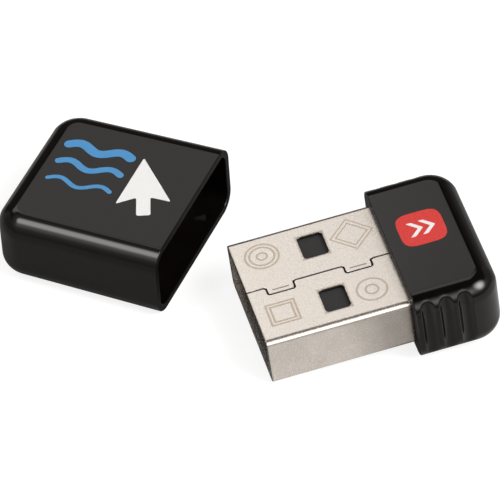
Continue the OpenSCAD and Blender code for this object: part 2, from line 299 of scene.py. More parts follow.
def make_object(name, shape, place, material, body, second=None, choose=None, limit=35.0):
    """Turns a shape into an object that rides on a body. choose gives 1 for faces in the second material."""
    bm = bmesh.new()
    verts = [bm.verts.new(p) for p in shape.points]
    for f in shape.faces:
        bm.faces.new([verts[i] for i in f])
    bmesh.ops.remove_doubles(bm, verts=bm.verts, dist=WELD)
    bmesh.ops.dissolve_degenerate(bm, edges=bm.edges, dist=THIN)
    bmesh.ops.recalc_face_normals(bm, faces=bm.faces)
    loose = [v for v in bm.verts if not v.link_faces]
    bmesh.ops.delete(bm, geom=loose, context="VERTS")
    mesh = bpy.data.meshes.new(name)
    bm.to_mesh(mesh)
    bm.free()
    points = np.array([v.co for v in mesh.vertices])
    faces = [tuple(p.vertices) for p in mesh.polygons]
    normals = corner_normals(points, faces, limit)
    for p in mesh.polygons:
        p.use_smooth = True
    mesh.materials.append(material)
    if second is not None:
        mesh.materials.append(second)
        for p in mesh.polygons:
            p.material_index = choose(p.center, p.normal)
    mesh.transform(place @ Matrix.Scale(MM, 4))
    turn = place.to_3x3()
    mesh.normals_split_custom_set([turn @ Vector(n) for n in normals])
    obj = bpy.data.objects.new(name, mesh)
    bpy.context.scene.collection.objects.link(obj)
    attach(obj, body)
    return obj


def arc(steps, start=0.0, end=90.0):
    """Angles in radians from start to end, both in degrees."""
    return [math.radians(start + (end - start) * k / steps) for k in range(steps + 1)]


def smooth_min(a, b, soft):
    """The lesser of two values, rounded where they meet."""
    blend = max(soft - abs(a - b), 0.0) / soft
    return min(a, b) - blend * blend * soft / 4


def inside(p, loop):
    """Whether a point lies in a closed loop."""
    found = False
    for (ax, ay), (bx, by) in zip(loop, loop[1:] + loop[:1]):
        if (ay > p[1]) != (by > p[1]) and p[0] < (bx - ax) * (p[1] - ay) / (by - ay) + ax:
            found = not found
    return found


# The triangulation gives faces inside the edges only, and joins points nearer than SAME_FLAT
INSIDE_ONLY = 1
SAME_FLAT = 1e-7


def fill(shape, loops, place=None, folds=()):
    """Faces between an outline and its holes, each a pair of flat points and their numbers in the shape.

    place gives the spot of a point that the filling adds, and folds are pairs of points to fold along.
    """
    flat = []
    numbers = []
    links = []
    for loop, ring in loops:
        first = len(flat)
        links += [(first + i, first + (i + 1) % len(loop)) for i in range(len(loop))]
        flat += [Vector(p) for p in loop]
        numbers += ring
    links += folds
    points, _, faces, sources, _, _ = delaunay_2d_cdt(flat, links, [], INSIDE_ONLY, SAME_FLAT)
    where = [numbers[s[0]] if s else shape.add([place(*p)])[0] for p, s in zip(points, sources)]
    outline, *holes = [loop for loop, _ in loops]
    for f in faces:
        middle = sum((points[i] for i in f), Vector((0, 0))) / len(f)
        if inside(middle, outline) and not any(inside(middle, hole) for hole in holes):
            shape.face(where[i] for i in f)


# ------------------------------------------------------------
# Rounded bodies: head and cap
# ------------------------------------------------------------

def edge_profile(half_h, edge):
    """(inset, z) down to up along a side: lower fillet, upright side, upper fillet."""
    flat = half_h - edge
    lower = [(edge * (1 - math.cos(a)), edge * math.sin(a) - flat) for a in arc(EDGE_STEPS, -90, 0)]
    upper = [(edge * (1 - math.cos(a)), edge * math.sin(a) + flat) for a in arc(EDGE_STEPS, 0, 90)]
    return lower + upper


def section_ring(x, half_w, half_h, edge, cut=None):
    """Closed ring of points at x: near side upwards, far side downwards."""
    profile = edge_profile(half_h, edge)
    near = [(x, -side_reach(x, z, half_w - i, cut), z) for i, z in profile]
    far = [(x, side_reach(x, z, half_w - i, cut), z) for i, z in reversed(profile)]
    return near + far


def side_reach(x, z, reach, cut):
    """Half width at x and height z, less what the flutes take."""
    return reach if cut is None else smooth_min(reach, cut(x, z), FLUTE_SOFT)


class Pod:
    """One skin of a rounded body: open at x = 0, closed at x = -length, tapered by draft to its end."""

    def __init__(self, length, width, height, edge, corner, draft):
        self.length = length
        self.half_w = width / 2
        self.half_h = height / 2
        self.edge = edge
        self.corner = corner
        self.draft = draft
        self.straight = length - corner

    def ring(self, depth, cut=None):
        """Section at a depth behind the mouth."""
        half_w = self.half_w - self.draft * depth / self.straight
        half_h = self.half_h - self.draft * depth / (self.length - self.edge)
        return section_ring(-depth, half_w, half_h, self.edge, cut)

    def close(self, shape, ring):
        """Closes the body behind its last ring."""
        count = len(ring) // 2
        near = ring[:count]
        far = ring[count:][::-1]
        centre_y = self.half_w - self.draft - self.corner
        sloped = self.length - self.edge
        slope = self.draft / sloped
        rows = []
        for k, (inset, z) in enumerate(edge_profile(self.half_h, self.edge)):
            radius = self.corner - inset
            turn = [(self.straight + radius * math.sin(a), centre_y + radius * math.cos(a))
                    for a in arc(CORNER_STEPS)]
            route = [(x, -y) for x, y in turn[1:]] + [(x, y) for x, y in reversed(turn[:-1])]
            row = [(-x, y, z - math.copysign(min(x, sloped) * slope, z)) for x, y in route]
            # The ring has the route's last point already
            rows.append([near[k]] + shape.add(row[:-1]) + [far[k]])
        for a, b in zip(rows, rows[1:]):
            shape.quads(a, b)
        shape.face(rows[0])
        shape.face(rows[-1])


def loft(shape, rings):
    """Joins closed rings of equal count and returns the first and last ring's point numbers."""
    loops = [shape.add(r) for r in rings]
    for a, b in zip(loops, loops[1:]):
        shape.quads(a, b, closed=True)
    return loops[0], loops[-1]


def inset_ring(x, inset):
    """Section of the full body at x, moved inwards all round."""
    return section_ring(x, BODY_W / 2 - inset, BODY_H / 2 - inset, EDGE_R - inset)


def outer_rim():
    """Rings over the rounded outer edge of a front face."""
    return [inset_ring(-RIM_R * (1 - math.sin(a)), RIM_R * (1 - math.cos(a))) for a in arc(RIM_STEPS)]


def inner_rim():
    """Rings over the rounded inner edge of the cap's mouth."""
    return [inset_ring(-RIM_R * (1 - math.cos(a)), CAP_WALL - RIM_R * (1 - math.sin(a)))
            for a in arc(RIM_STEPS)]


def cap_shape():
    """The cap's cup with a rounded rim, and its six guide ribs."""
    shape = Shape()
    outer = Pod(CAP_LEN, BODY_W, BODY_H, EDGE_R, CORNER_R, CAP_DRAFT)
    inner = Pod(CAP_LEN - CAP_END, BODY_W - 2 * CAP_WALL, BODY_H - 2 * CAP_WALL,
                EDGE_R - CAP_WALL, CORNER_R - CAP_WALL, CAP_DRAFT)
    stations = (1.0, 0.5, 0.25)
    rings = [outer.ring(s * outer.straight) for s in stations]
    rings += outer_rim() + inner_rim()
    rings += [inner.ring(s * inner.straight) for s in reversed(stations)]
    first, last = loft(shape, rings)
    outer.close(shape, first)
    inner.close(shape, last)
    add_ribs(shape)
    return shape


def add_ribs(shape):
    """Guide ribs on the inner faces: two above, two below and one on each side."""
    end = CAP_LEN - CAP_END + RIB_SINK
    toe = CAP_LEN - CORNER_R + RIB_TOE_LEN
    for turn in (1, -1):
        low = SHELL_H / 2 + RIB_CLEAR
        high = BODY_H / 2 - CAP_WALL + RIB_SINK
        side = [(-end, high), (-end, low), (-RIB_START - RIB_LEAD, low), (-RIB_START, high)]
        for y in (-RIB_OUT, RIB_OUT):
            shape.block(side, lambda u, v, w: (u, w, turn * v), y - RIB_W / 2, y + RIB_W / 2, RIB_SOFT)
        low = SHELL_W / 2 + RIB_CLEAR
        high = BODY_W / 2 - CAP_WALL + RIB_SINK
        side = [(CORNER_R - CAP_LEN, high), (-toe, low + RIB_TOE_T), (-toe, low),
                (-RIB_START - RIB_LEAD, low), (-RIB_START, high)]
        shape.block(side, lambda u, v, w: (u, turn * v, w), -RIB_W / 2, RIB_W / 2, RIB_SOFT)


def flute_cut(x, z):
    """Half width that the flutes leave at x, which is negative here. They lean in over the upper fillet."""
    reach = BODY_W
    upright = BODY_H / 2 - EDGE_R
    lean = FLUTE_LEAN * min(max(z - upright, 0.0) / EDGE_R, 1.0)
    for i in range(FLUTE_N):
        off = -x - FLUTE_FIRST - i * FLUTE_PITCH
        if abs(off) < FLUTE_R:
            left = BODY_W / 2 + FLUTE_R - FLUTE_DEPTH - lean - math.sqrt(FLUTE_R ** 2 - off ** 2)
            reach = min(reach, left)
    return reach


def bay_outline():
    """Section of the bay behind the pocket, with a groove on each side for the board, as (y, z)."""
    w = BOARD_W / 2 + BOARD_CLEAR
    n = BOARD_W / 2 - GROOVE_BITE
    h = SHELL_H / 2 + POCKET_CLEAR
    top = BOARD_TOP + BOARD_CLEAR
    low = BOARD_TOP - BOARD_T - BOARD_CLEAR
    right = [(n, -h), (n, low), (w, low), (w, top), (n, top), (n, h)]
    return right + [(-y, z) for y, z in reversed(right)]


def head_shape():
    """The grip head: fluted skin, front face, pocket for the plug's shell and bay for the board.

    It is made like the cap, which closes towards -x, and mirrored last.
    """
    shape = Shape()
    outer = Pod(HEAD_LEN, BODY_W, BODY_H, EDGE_R, CORNER_R, 0.0)
    count = int(outer.straight / FLUTE_STEP)
    depths = [outer.straight * k / count for k in range(count, 0, -1)]
    rings = [outer.ring(d, flute_cut) for d in depths if d > RIM_R]
    rings += outer_rim()
    pocket = (SHELL_W / 2 + POCKET_CLEAR, SHELL_H / 2 + POCKET_CLEAR, SHELL_R + POCKET_CLEAR)
    rings.append(section_ring(0.0, *(size + BURR_R for size in pocket)))
    rings.append(section_ring(-BURR_R, *pocket))
    rings.append(section_ring(-SHELL_SEAT, *pocket))
    first, last = loft(shape, rings)
    outer.close(shape, first)
    outline = bay_outline()
    front = shape.add((-SHELL_SEAT, y, z) for y, z in outline)
    back = shape.add((-(HEAD_LEN - HEAD_END), y, z) for y, z in outline)
    shape.quads(front, back, closed=True)
    shape.face(back)
    pocket_end = [shape.points[i][1:] for i in last]
    fill(shape, [(pocket_end, last), (outline, front)])
    shape.points = [(-x, y, z) for x, y, z in shape.points]
    return shape


# ------------------------------------------------------------
# Plug shell: one sheet, laid out flat as (s, x) and wrapped round the plug
# ------------------------------------------------------------

ARC_LEN = SHELL_R * math.pi / 2
TOP_HALF = SHELL_W / 2 - SHELL_R
SIDE_LEN = SHELL_H - 2 * SHELL_R
GIRTH = 4 * TOP_HALF + 2 * SIDE_LEN + 4 * ARC_LEN


def wrap(s, x, depth):
    """Point of the shell at a distance s round it from the top's middle line, at a depth in the sheet."""
    if s > GIRTH / 2:
        px, py, pz = wrap(GIRTH - s, x, depth)
        return px, -py, pz
    half_h = SHELL_H / 2
    radius = SHELL_R - depth
    if s <= TOP_HALF:
        return x, s, half_h - depth
    s -= TOP_HALF
    if s <= ARC_LEN:
        a = s / SHELL_R
        return x, TOP_HALF + radius * math.sin(a), half_h - SHELL_R + radius * math.cos(a)
    s -= ARC_LEN
    if s <= SIDE_LEN:
        return x, SHELL_W / 2 - depth, half_h - SHELL_R - s
    s -= SIDE_LEN
    if s <= ARC_LEN:
        a = s / SHELL_R
        return x, TOP_HALF + radius * math.cos(a), SHELL_R - half_h - radius * math.sin(a)
    s -= ARC_LEN
    return x, TOP_HALF - s, depth - half_h


# Distances round the shell that differ by less are alike
SAME = 1e-6


def bend_lines():
    """Distances round the shell at which the sheet bends."""
    quarter = [TOP_HALF + ARC_LEN * k / BEND_STEPS for k in range(BEND_STEPS + 1)]
    lower = TOP_HALF + ARC_LEN + SIDE_LEN
    quarter += [lower + ARC_LEN * k / BEND_STEPS for k in range(BEND_STEPS + 1)]
    return quarter + [GIRTH - s for s in reversed(quarter)]


def rounded_path(points, radius):
    """Open path with its inner corners, all of 90 degrees, rounded."""
    out = [points[0]]
    for before, here, after in zip(points, points[1:], points[2:]):
        p = Vector(here)
        u = Vector(before) - p
        w = Vector(after) - p
        cut = min(radius, u.length / 2, w.length / 2)
        u.normalize()
        w.normalize()
        centre = p + (u + w) * cut
        out += [tuple(centre - u * cut * math.sin(a) - w * cut * math.cos(a)) for a in arc(TAB_STEPS)]
    out.append(points[-1])
    return out


def rounded_window(s, x):
    """Latch window as a closed loop round its hole, clockwise so that inwards is into the sheet."""
    loop = []
    for cs, cx, start in ((1, 1, 0), (-1, 1, 90), (-1, -1, 180), (1, -1, 270)):
        for a in arc(WINDOW_STEPS, start, start + 90):
            loop.append((s + cs * (WINDOW_W / 2 - WINDOW_R) + WINDOW_R * math.cos(a),
                         x + cx * (WINDOW_LEN / 2 - WINDOW_R) + WINDOW_R * math.sin(a)))
    return loop[::-1]


def seam_path(base, half):
    """One edge of the seam from the tip to the seat, which steps back at each tab, half to each side."""
    back = base - (TAB_REACH + SEAM_GAP / 2)
    path = [(base, -SHELL_LEN)]
    for middle in TAB_MIDDLES:
        path += [(base, middle - half), (back, middle - half), (back, middle + half), (base, middle + half)]
    path.append((base, SHELL_SEAT))
    return rounded_path(path, TAB_CORNER)


def sheet_outline():
    """Edge of the sheet laid out flat, counter-clockwise."""
    lines = bend_lines()
    left = seam_path(SEAM_GAP / 2, TAB_LEN / 2)
    right = seam_path(GIRTH - SEAM_GAP / 2, TAB_LEN / 2 + SEAM_GAP)
    tip = [(s, -SHELL_LEN) for s in lines]
    seat = [(s, SHELL_SEAT) for s in reversed(lines)]
    return left[:1] + tip + right + seat + left[:0:-1]


def shell_shape():
    """The rolled sheet with its seam, tabs and windows, every cut edge rolled over a little."""
    shape = Shape()
    middles = (WINDOW_OUT, GIRTH / 2 - WINDOW_OUT, GIRTH / 2 + WINDOW_OUT, GIRTH - WINDOW_OUT)
    loops = [sheet_outline()] + [rounded_window(s, WINDOW_X) for s in middles]
    rows = [(ROLL_R * (1 - math.sin(a)), ROLL_R * (1 - math.cos(a))) for a in arc(ROLL_STEPS)]
    rows += [(BURR_R * (1 - math.cos(a)), SHEET_T - BURR_R * (1 - math.sin(a))) for a in arc(BURR_STEPS)]
    outer = []
    inner = []
    for loop in loops:
        rings = [shape.add(wrap(s, x, depth) for s, x in inset_loop(loop, inset)) for inset, depth in rows]
        for a, b in zip(rings, rings[1:]):
            shape.quads(a, b, closed=True)
        outer.append((inset_loop(loop, ROLL_R), rings[0]))
        inner.append((inset_loop(loop, BURR_R), rings[-1]))
    fill_sheet(shape, outer, 0.0)
    fill_sheet(shape, inner, SHEET_T)
    return shape


def fill_sheet(shape, loops, depth):
    """Faces of one side of the sheet between its outline and its windows, folded where the sheet bends."""
    folds = []
    for s in bend_lines():
        ends = [i for i, p in enumerate(loops[0][0]) if abs(p[0] - s) < SAME]
        folds.append((ends[0], ends[-1]))
    fill(shape, loops, lambda s, x: wrap(s, x, depth), folds)


# ------------------------------------------------------------
# Prints
# ------------------------------------------------------------

def print_shape(outlines, height):
    """Thin pads of ink on a flat face at a height."""
    shape = Shape()
    for loop in outlines:
        low = shape.add((x, y, height - INK_SINK) for x, y in loop)
        high = shape.add((x, y, height + INK_T) for x, y in loop)
        shape.quads(low, high, closed=True)
        fill(shape, [(loop, low)])
        fill(shape, [(loop, high)])
    return shape


def wave_outline(x0, x1, y, swing, waves, width, steps=72):
    """Wavy stroke with round ends, from x0 to x1."""
    def centre(t):
        x = x0 + (x1 - x0) * t
        return x, y + swing * math.sin(2 * math.pi * waves * t)

    def normal(t):
        slope = 2 * math.pi * waves * swing * math.cos(2 * math.pi * waves * t) / (x1 - x0)
        length = math.hypot(1, slope)
        return -slope / length, 1 / length

    loop = []
    for side in (-1, 1):
        ts = [k / steps for k in range(steps + 1)]
        for t in ts if side < 0 else reversed(ts):
            (cx, cy), (nx, ny) = centre(t), normal(t)
            loop.append((cx + side * nx * width / 2, cy + side * ny * width / 2))
        t = 1 if side < 0 else 0
        (cx, cy), (nx, ny) = centre(t), normal(t)
        start = math.degrees(math.atan2(side * ny, side * nx))
        for a in arc(STROKE_STEPS, start, start + 180)[1:-1]:
            loop.append((cx + width / 2 * math.cos(a), cy + width / 2 * math.sin(a)))
    return loop


def pointer_outline(x, y, size):
    """Plain arrow pointer with its tip at (x, y) and its body below it and to the right."""
    unit = size / 12
    corners = [(0, 0), (0, -11.4), (2.6, -9.0), (4.3, -12.9), (6.4, -12.0), (4.7, -8.2), (8.2, -8.1)]
    return soften([(x + unit * u, y + unit * v) for u, v in corners], unit * POINTER_SOFT)


# Rounding of the printed corners, as a share of the pointer's unit and of the chevron's width
POINTER_SOFT = 0.45
CHEVRON_SOFT = 0.2


def soften(loop, radius, steps=4):
    """Closed loop with all its corners rounded."""
    n = len(loop)
    out = []
    for i in range(n):
        p = Vector(loop[i])
        u = Vector(loop[i - 1]) - p
        w = Vector(loop[(i + 1) % n]) - p
        cut = min(radius, u.length / 3, w.length / 3)
        a = p + u.normalized() * cut
        b = p + w.normalized() * cut
        for k in range(steps + 1):
            t = k / steps
            out.append(tuple(a.lerp(p, t).lerp(p.lerp(b, t), t)))
    return out


def squircle(x, y, half, power=4.0, steps=64):
    """Square with very round corners."""
    loop = []
    for k in range(steps):
        a = 2 * math.pi * k / steps
        c, s = math.cos(a), math.sin(a)
        loop.append((x + half * math.copysign(abs(c) ** (2 / power), c),
                     y + half * math.copysign(abs(s) ** (2 / power), s)))
    return loop


def chevron(x, y, reach, width):
    """Arrow head that points to +x."""
    corners = [(x - reach, y + reach), (x, y), (x - reach, y - reach),
               (x - reach - width, y - reach), (x - width, y), (x - reach - width, y + reach)]
    return soften(corners, width * CHEVRON_SOFT)


# ------------------------------------------------------------
# Materials
# ------------------------------------------------------------

# The two shades of the moulded black
BLACK = ((0.0023, 0.0014, 0.0013), (0.0036, 0.0026, 0.0024))
# The two shades of the plated sheet, and the colours of what lies on it
PLATE = ((0.93, 0.86, 0.79), (1.0, 0.94, 0.88))
CLOUDED = (0.90, 0.83, 0.76)
SPECKED = (0.42, 0.37, 0.31)
# Painted shade by the head and round the windows, and darker lines at the tip and along the bends
DARKENED = (0.36, 0.30, 0.245)
# Painted shade on the plug's sides
SHADED_SIDE = (0.42, 0.37, 0.32)
# Painted shade in the joint by the head
JOINT_SHADE = (0.02, 0.017, 0.015)
ETCHED_LINE = (0.56, 0.47, 0.35)
# Painted shade in the pressed stakes' dents
STAKE_SHADE = (0.20, 0.16, 0.13)

# Painted shade by the head and round the windows, and darker lines along the tip and the bends: (from, to) along a
# distance, then the strengths there where they aren't 0 and 1
HEAD_SHADE = (-0.9, 0.0, 0.0, 0.7)
HEAD_SHADE_FAR = (-3.0, 0.0, 0.0, 0.25)
TIP_DARKENING = (0.16 - SHELL_LEN, 0.04 - SHELL_LEN)
WINDOW_SHADE = (0.24, 0.04, 0.0, 1.7)
BEND_DARKENING = (0.14, 0.06)
BEND_DARKENING_Y = TOP_HALF + 0.14
# Painted shade on the plug's sides, deeper towards the head, and a speckled line of painted shade on them in the
# joint by the head, in the same form
SIDE_SHADE = (-6.0, -0.5, 0.2, 0.5)
JOINT_SHADE_X = (-0.24, -0.1)
# Where the shell's sides begin, softly, and its top
ON_SIDE = (SHELL_W / 2 - 0.2, SHELL_W / 2 - 0.02)
ON_TOP = SHELL_H / 2 - 0.02

# Half length and half width of the pressed stakes: where they have faded out, and where they are full
STAKE_ENDS = (STAKE_LEN / 2 + 0.03, STAKE_LEN / 2 - 0.03)
STAKE_SIDES = (STAKE_W / 2 + 0.03, STAKE_W / 2 - 0.02)

ETCH_WIDTH = 0.075
SURFACE_IOR = 1.45


def rgba(colour):
    """A written colour with full alpha. An output passes as it is."""
    return (*colour, 1.0) if isinstance(colour, tuple) else colour


class Wires:
    """Short way to wire the nodes of a tree."""

    def __init__(self, tree):
        self.tree = tree

    def node(self, kind, **settings):
        """New node with its settings."""
        made = self.tree.nodes.new(kind)
        for key, value in settings.items():
            setattr(made, key, value)
        return made

    def feed(self, value, socket):
        """Links an output, or writes a constant, into a socket."""
        if isinstance(value, bpy.types.NodeSocket):
            self.tree.links.new(value, socket)
        else:
            socket.default_value = value

    def maths(self, operation, *values):
        """Result of one maths node."""
        made = self.node("ShaderNodeMath", operation=operation)
        for value, socket in zip(values, made.inputs):
            self.feed(value, socket)
        return made.outputs[0]

    def plus(self, a, b):
        """Sum of two values."""
        return self.maths("ADD", a, b)

    def minus(self, a, b):
        """First value less the second."""
        return self.maths("SUBTRACT", a, b)

    def times(self, product, *factors):
        """Product of all the values."""
        for factor in factors:
            product = self.maths("MULTIPLY", product, factor)
        return product

    def size(self, value):
        """Value without its sign."""
        return self.maths("ABSOLUTE", value)

    def largest(self, most, *others):
        """Largest of the values."""
        for value in others:
            most = self.maths("MAXIMUM", most, value)
        return most

    def distance(self, a, b):
        """Distance over two steps at right angles."""
        return self.maths("SQRT", self.plus(self.times(a, a), self.times(b, b)))


class Paint(Wires):
    """Procedural material round a principled shader, with lengths in millimetres."""

    def __init__(self, name):
        self.material = bpy.data.materials.new(name)
        self.material.use_nodes = True
        super().__init__(self.material.node_tree)
        self.shader = self.tree.nodes["Principled BSDF"]

    def place(self):
        """Object coordinates, in metres."""
        return self.node("ShaderNodeTexCoord").outputs["Object"]

    def place_in(self, own):
        """Object coordinates seen from a piece's own frame."""
        made = self.node("ShaderNodeMapping", vector_type="TEXTURE")
        made.inputs["Location"].default_value = own.translation
        made.inputs["Rotation"].default_value = own.to_euler()
        self.feed(self.place(), made.inputs["Vector"])
        return made.outputs[0]

    def parts(self, vector):
        """x, y and z of a vector, in millimetres."""
        split = self.node("ShaderNodeSeparateXYZ")
        scale = self.node("ShaderNodeVectorMath", operation="SCALE")
        scale.inputs["Scale"].default_value = 1 / MM
        self.feed(vector, scale.inputs[0])
        self.feed(scale.outputs[0], split.inputs[0])
        return split.outputs[0], split.outputs[1], split.outputs[2]

    def noise(self, size, detail=3.0, rough=0.5):
        """Noise whose features are about size across."""
        mapping = self.node("ShaderNodeMapping")
        mapping.inputs["Scale"].default_value = [1 / MM / size] * 3
        self.feed(self.place(), mapping.inputs["Vector"])
        made = self.node("ShaderNodeTexNoise")
        made.inputs["Scale"].default_value = 1.0
        made.inputs["Detail"].default_value = detail
        made.inputs["Roughness"].default_value = rough
        self.feed(mapping.outputs[0], made.inputs["Vector"])
        return made.outputs["Fac"]

    def spread(self, value, low, high, out_low=0.0, out_high=1.0):
        """Maps low..high to out_low..out_high, held at the ends."""
        made = self.node("ShaderNodeMapRange", clamp=True)
        for v, socket in zip((value, low, high, out_low, out_high), made.inputs):
            self.feed(v, socket)
        return made.outputs[0]

    def mix(self, factor, a, b):
        """Blend of two colours."""
        made = self.node("ShaderNodeMix", data_type="RGBA")
        self.feed(factor, made.inputs[0])
        self.feed(rgba(a), made.inputs[6])
        self.feed(rgba(b), made.inputs[7])
        return made.outputs[2]

    def bump(self, height, strength, depth):
        """Bump of a depth, from a height of 0 to 1."""
        made = self.node("ShaderNodeBump")
        made.inputs["Strength"].default_value = strength
        made.inputs["Distance"].default_value = depth * MM
        self.feed(height, made.inputs["Height"])
        self.feed(made.outputs[0], self.shader.inputs["Normal"])

    def finish(self, colour, roughness, metallic=0.0):
        """Feeds the shader and returns the material."""
        self.feed(rgba(colour), self.shader.inputs["Base Color"])
        self.feed(roughness, self.shader.inputs["Roughness"])
        self.shader.inputs["Metallic"].default_value = metallic
        self.shader.inputs["IOR"].default_value = SURFACE_IOR
        return self.material


def gloss_black(name, dull=0.0, specular=0.5):
    """Glossy moulded black with a faint waviness and handling haze, duller on a parting face."""
    p = Paint(name)
    haze = p.noise(2.4, 4.0, 0.6)
    fine = p.noise(0.05, 2.0)
    colour = p.mix(p.spread(haze, 0.35, 0.7), *BLACK)
    smears = p.spread(haze, 0.3, 0.7, dull + 0.05, dull + 0.09)
    p.bump(p.noise(3.0, 1.0), 0.15, 0.004)
    p.shader.inputs["Specular IOR Level"].default_value = specular
    return p.finish(colour, p.plus(smears, p.spread(fine, 0.3, 0.7, 0.0, 0.02)))


def satin_metal():
    """Nickel plated sheet: fine blasted grain, faint etched signs, pressed stakes, darker lines at the tip and
    bends, and painted shade on the sides, by the head, round the windows and in the stakes.
    """
    p = Paint("plated_sheet")
    x, y, z = p.parts(p.place_in(DONGLE))
    grain = p.noise(0.10, 3.0, 0.65)
    cloud = p.noise(1.5, 2.0)
    specks = p.noise(0.2, 2.0, 0.7)
    on_top = p.maths("GREATER_THAN", z, ON_TOP)
    on_side = p.spread(p.size(y), *ON_SIDE)
    # Painted shade on the sides, deeper towards the head, with a faint random cloud in it
    dull = p.plus(p.spread(x, *SIDE_SHADE), p.spread(cloud, 0.35, 0.65, 0.0, 0.1))
    # A speckled line of painted shade on the sides, in the joint by the head
    joint_shade_share = p.times(p.spread(x, *JOINT_SHADE_X), p.spread(specks, 0.3, 0.6, 0.5, 1.0))
    signs = p.times(etched_signs(p, x, y), on_top)
    stakes = p.times(pressed_stakes(p, x, y), on_top)
    colour = p.mix(p.spread(grain, 0.32, 0.68), *PLATE)
    for share, laid in (
        (p.spread(cloud, 0.3, 0.7, 0.0, 0.15), CLOUDED),
        (p.spread(specks, 0.68, 0.76, 0.0, 0.35), SPECKED),
        # Painted shade by the head and round the windows, darker lines at the tip and bends
        (p.times(darkening_marks(p, x, y, specks), 0.55), DARKENED),
        (p.times(dull, on_side), SHADED_SIDE),
        (p.times(joint_shade_share, on_side, 0.9), JOINT_SHADE),
        (p.times(signs, 0.8), ETCHED_LINE),
        # Painted shade in the stakes' dents
        (p.times(stakes, 0.75), STAKE_SHADE),
    ):
        colour = p.mix(share, colour, laid)
    sunk = p.plus(p.times(signs, 0.4), p.times(stakes, 2.0))
    p.bump(p.minus(grain, sunk), 0.18, 0.012)
    return p.finish(colour, p.spread(grain, 0.3, 0.7, 0.225, 0.295), metallic=1.0)


def darkening_marks(p, x, y, specks):
    """Painted shade by the head and round the windows, and darker lines along the tip and the bends, broken by
    specks.
    """
    broken = p.spread(specks, 0.35, 0.6, 0.35, 1.0)
    at_head = p.plus(p.spread(x, *HEAD_SHADE), p.spread(x, *HEAD_SHADE_FAR))
    at_tip = p.spread(x, *TIP_DARKENING)
    past_x = p.minus(p.size(p.minus(x, WINDOW_X)), WINDOW_LEN / 2)
    past_y = p.minus(p.size(p.minus(p.size(y), WINDOW_OUT)), WINDOW_W / 2)
    at_window = p.spread(p.largest(past_x, past_y), *WINDOW_SHADE)
    from_bend = p.size(p.minus(p.size(y), BEND_DARKENING_Y))
    at_bend = p.spread(from_bend, *BEND_DARKENING)
    return p.times(p.largest(at_head, at_tip, at_window, at_bend), broken)


def outline(p, distance, radius):
    """1 on the line at a radius in a distance field, 0 off it."""
    off = p.size(p.minus(distance, radius))
    return p.spread(off, ETCH_WIDTH * 1.6, ETCH_WIDTH * 0.6)


def etched_signs(p, x, y):
    """Plain outlines, lightly etched: rings, a square and a diamond."""
    lines = []
    for kind, at_x, at_y, radii in ETCHED:
        dx = p.size(p.minus(x, at_x))
        dy = p.size(p.minus(y, at_y))
        if kind == "ring":
            far = p.distance(dx, dy)
        elif kind == "square":
            far = p.largest(dx, dy)
        else:
            far = p.plus(dx, dy)
        lines += [outline(p, far, r) for r in radii]
    return p.largest(*lines)


def pressed_stakes(p, x, y):
    """Short pressed lines that lock the seam's tabs."""
    lines = []
    for middle in TAB_MIDDLES:
        dx = p.size(p.minus(x, middle))
        dy = p.size(p.minus(y, STAKE_Y))
        lines.append(p.times(p.spread(dx, *STAKE_ENDS), p.spread(dy, *STAKE_SIDES)))
    return p.largest(*lines)


def plain_paint(name, low, high, size, roughness, metallic=0.0):
    """Two shades in a grain of the given size, with slight bump."""
    p = Paint(name)
    grain = p.noise(size)
    p.bump(grain, 0.3, 0.005)
    colour = p.mix(p.spread(grain, 0.3, 0.7), low, high)
    rough = p.spread(grain, 0.3, 0.7, roughness - 0.05, roughness + 0.05)
    return p.finish(colour, rough, metallic=metallic)


# ------------------------------------------------------------
# The pieces
# ------------------------------------------------------------

# Shares of a face's normal along an axis: a face square to it, a cut at the tip, and the sheet's flat skin
SQUARE = 0.9
AT_TIP = 0.6
SKIN = 0.88
# How near a face lies to the place at which it is looked for
NEAR = 0.01
# Turn in degrees, below which the shell's faces shade as one
SHELL_SMOOTH = 40

cap_black = gloss_black("cap_black")
head_black = gloss_black("head_black")
plated = satin_metal()
white_ink = plain_paint("white_ink", (0.66, 0.66, 0.66), (0.71, 0.71, 0.71), 0.08, 0.35)
blue_ink = plain_paint("blue_ink", (0.051, 0.212, 0.44), (0.066, 0.242, 0.485), 0.08, 0.35)
red_ink = plain_paint("red_ink", (0.50, 0.029, 0.025), (0.555, 0.037, 0.031), 0.08, 0.3)
face_black = gloss_black("face_black", dull=0.3, specular=0.1)
# The sheet's cut faces at the tip, in the seam and in the windows: raw steel, painted near black as shade
cut_face_shade = plain_paint("cut_face_shade", (0.07, 0.062, 0.055), (0.13, 0.115, 0.10), 0.06, 0.4, 1.0)


def cap_face(place, normal):
    """1 for the flat rim of the cap's mouth."""
    return 1 if normal.x > SQUARE and place.x > -NEAR else 0


def head_face(place, normal):
    """1 for the head's front face, round the plug."""
    return 1 if normal.x < -SQUARE and place.x < NEAR else 0


def cut_edge(place, normal):
    """1 for the sheet's cut faces at the tip, in the seam and in the windows."""
    at_tip = normal.x < -AT_TIP
    on_flat = abs(abs(place.z) - SHELL_H / 2) < SHEET_T + NEAR and abs(place.y) < TOP_HALF
    return 1 if at_tip or (on_flat and abs(normal.z) < SKIN) else 0


cap = make_object("cap", cap_shape(), CAP, cap_black, "cap", face_black, cap_face)
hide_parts("cap_shell")

head = make_object("head", head_shape(), DONGLE, head_black, "dongle", face_black, head_face)
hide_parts("head_cover")

shell = make_object("shell", shell_shape(), DONGLE, plated, "dongle", cut_face_shade, cut_edge, SHELL_SMOOTH)
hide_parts("plug_shell")


def cap_top(x):
    """Height of the cap's top face at x."""
    return BODY_H / 2 - CAP_DRAFT * abs(x) / (CAP_LEN - EDGE_R)


def cap_print(name, outlines, ink):
    """Print on the cap's top."""
    shape = print_shape(outlines, 0.0)
    shape.points = [(x, y, z + cap_top(x)) for x, y, z in shape.points]
    make_object(name, shape, CAP, ink, "cap")


